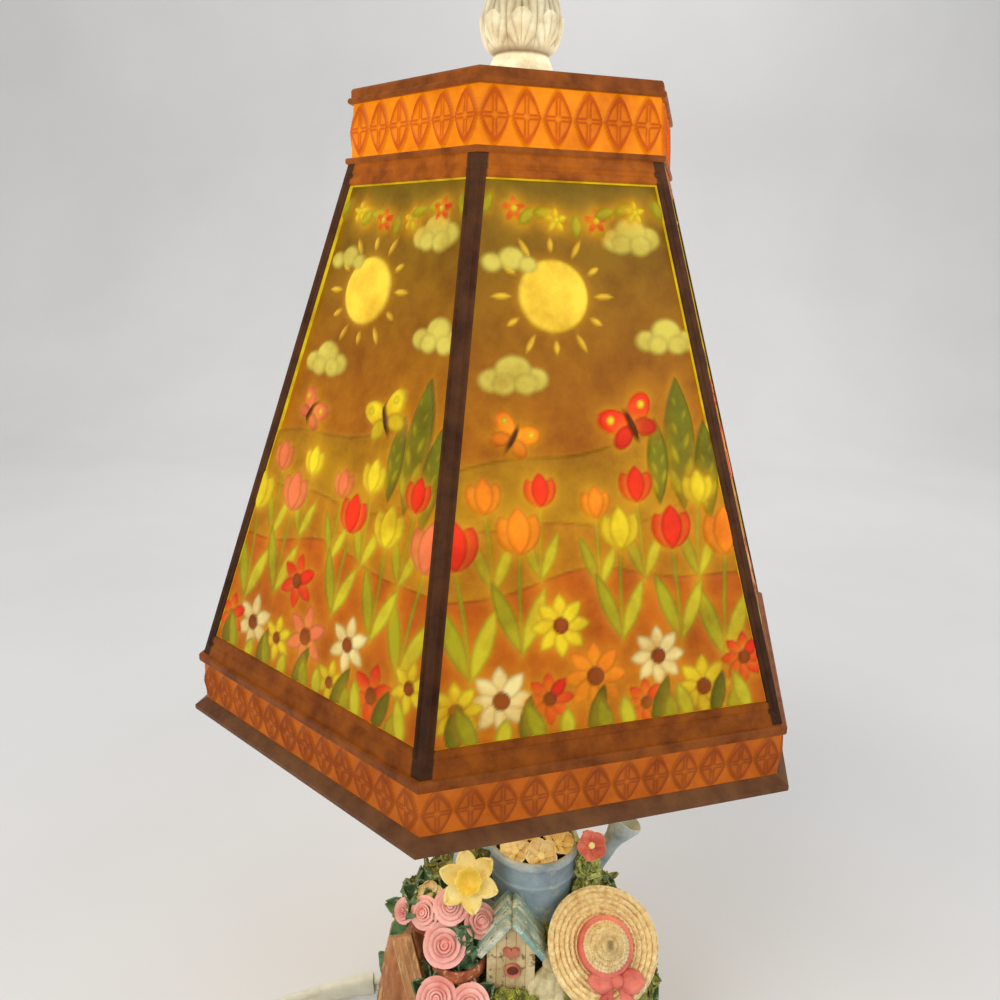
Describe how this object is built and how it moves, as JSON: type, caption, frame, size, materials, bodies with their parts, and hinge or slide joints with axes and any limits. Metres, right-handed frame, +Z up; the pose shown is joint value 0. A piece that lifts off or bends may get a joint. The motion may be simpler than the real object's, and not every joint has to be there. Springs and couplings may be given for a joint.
{
  "type": "rotating motion lamp",
  "caption": "Table lamp with a lit hexagonal shade that turns on a geared hub over a sculpted garden base, with a mains cord, inline switch and plug.",
  "frame": {"origin": "on the table, on the lamp axis, under the middle of the shade", "axes": "+X to the viewer's right, +Y away from the viewer, +Z up along the lamp axis"},
  "size_m": [0.2207, 0.259, 0.358],
  "materials": {
    "cast_shade": "satin antique wash over a translucent casting",
    "shade_trim": "dark brown antique wash",
    "finial_cast": "satin, translucent cream",
    "brass_part": "plain",
    "steel_part": "zinc plated",
    "gear_plastic": "natural nylon",
    "motor_case": "plated can",
    "socket_shell": "moulded black",
    "bulb_glass": "frosted, lit",
    "base_green": "painted moss, antique wash",
    "bark": "painted bark",
    "can_blue": "worn blue-grey paint",
    "petal_cream": "painted cream",
    "petal_yellow": "painted yellow",
    "rose_pink": "painted pink",
    "leaf_green": "painted dark green, dry-brushed",
    "terracotta": "painted terracotta",
    "house_cream": "worn cream paint",
    "roof_teal": "worn blue-green paint",
    "straw": "painted straw",
    "ribbon_coral": "painted coral",
    "glove_cream": "painted canvas",
    "board_tan": "painted wood",
    "rubber_black": "matte",
    "cord_white": "off-white flexible sheath",
    "white_plastic": "moulded off-white",
    "tie_black": "plain"
  },
  "bodies": {
    "base": {"lamp_pipe": "steel_part", "pipe_nuts": "brass_part", "thrust_washer": "gear_plastic", "lamp_socket": "socket_shell", "bulb_base": "brass_part", "bulb_glass": "bulb_glass", "chassis_plate": "steel_part", "gear_motor": "motor_case", "motor_screws": "steel_part", "garden_mound": "base_green", "base_plate": "steel_part", "plate_screws": "steel_part", "rubber_feet": "rubber_black", "hub_cover": "brass_part", "mossy_rocks": "base_green", "tree_stump": "bark", "watering_can": "can_blue", "ivy_column": "leaf_green", "can_spout": "can_blue", "can_handle": "can_blue", "can_blossoms": "petal_cream", "birdhouse": "house_cream", "birdhouse_roof": "roof_teal", "moss_bush": "base_green", "rose_pot": "terracotta", "rose_leaves": "leaf_green", "rose_blooms": "rose_pink", "straw_hat": "straw", "hat_ribbon": "ribbon_coral", "garden_glove": "glove_cream", "slanted_board": "board_tan", "leaf_pot": "terracotta", "leaf_plant": "leaf_green", "daffodil": "petal_yellow", "cord_bushing": "rubber_black", "cord_lead": "cord_white", "cord_coil": "cord_white", "cord_tail": "cord_white", "switch_body": "white_plastic", "plug_body": "white_plastic", "plug_blades": "brass_part", "coil_tie": "tie_black"},
    "rotor": {"rotor_hub": "brass_part", "ring_gear": "gear_plastic", "harp_saddle": "steel_part", "saddle_nut": "brass_part", "harp": "brass_part"},
    "pinion": {"pinion": "steel_part"},
    "shade": {"shade_cap": "shade_trim", "shade_side_1": "cast_shade", "shade_side_2": "cast_shade", "shade_side_3": "cast_shade", "shade_side_4": "cast_shade", "shade_side_5": "cast_shade", "shade_side_6": "cast_shade"},
    "finial": {"finial": "finial_cast", "finial_insert": "brass_part"},
    "rocker": {"switch_rocker": "white_plastic"}
  },
  "joints": [
    {"name": "shade_spin", "type": "hinge", "parent": "base", "child": "rotor", "pos_m": [0, 0, 0.0461], "axis": [0, 0, 1], "continuous": true},
    {"name": "pinion_spin", "type": "hinge", "parent": "base", "child": "pinion", "pos_m": [0, -0.024, 0.0495], "axis": [0, 0, 1], "continuous": true},
    {"name": "shade_lift", "type": "slide", "parent": "rotor", "child": "shade", "axis": [0, 0, 1], "range_m": [0, 0.18]},
    {"name": "finial_lift", "type": "slide", "parent": "shade", "child": "finial", "axis": [0, 0, 1], "range_m": [0, 0.02]},
    {"name": "rocker_tilt", "type": "hinge", "parent": "base", "child": "rocker", "pos_m": [-0.11675, -0.05498, 0.0124], "axis": [0.9977, -0.0672, 0], "range_deg": [-8, 8]}
  ],
  "couplings": [
    {"joint": "pinion_spin", "follows": "shade_spin", "ratio": -3}
  ]
}
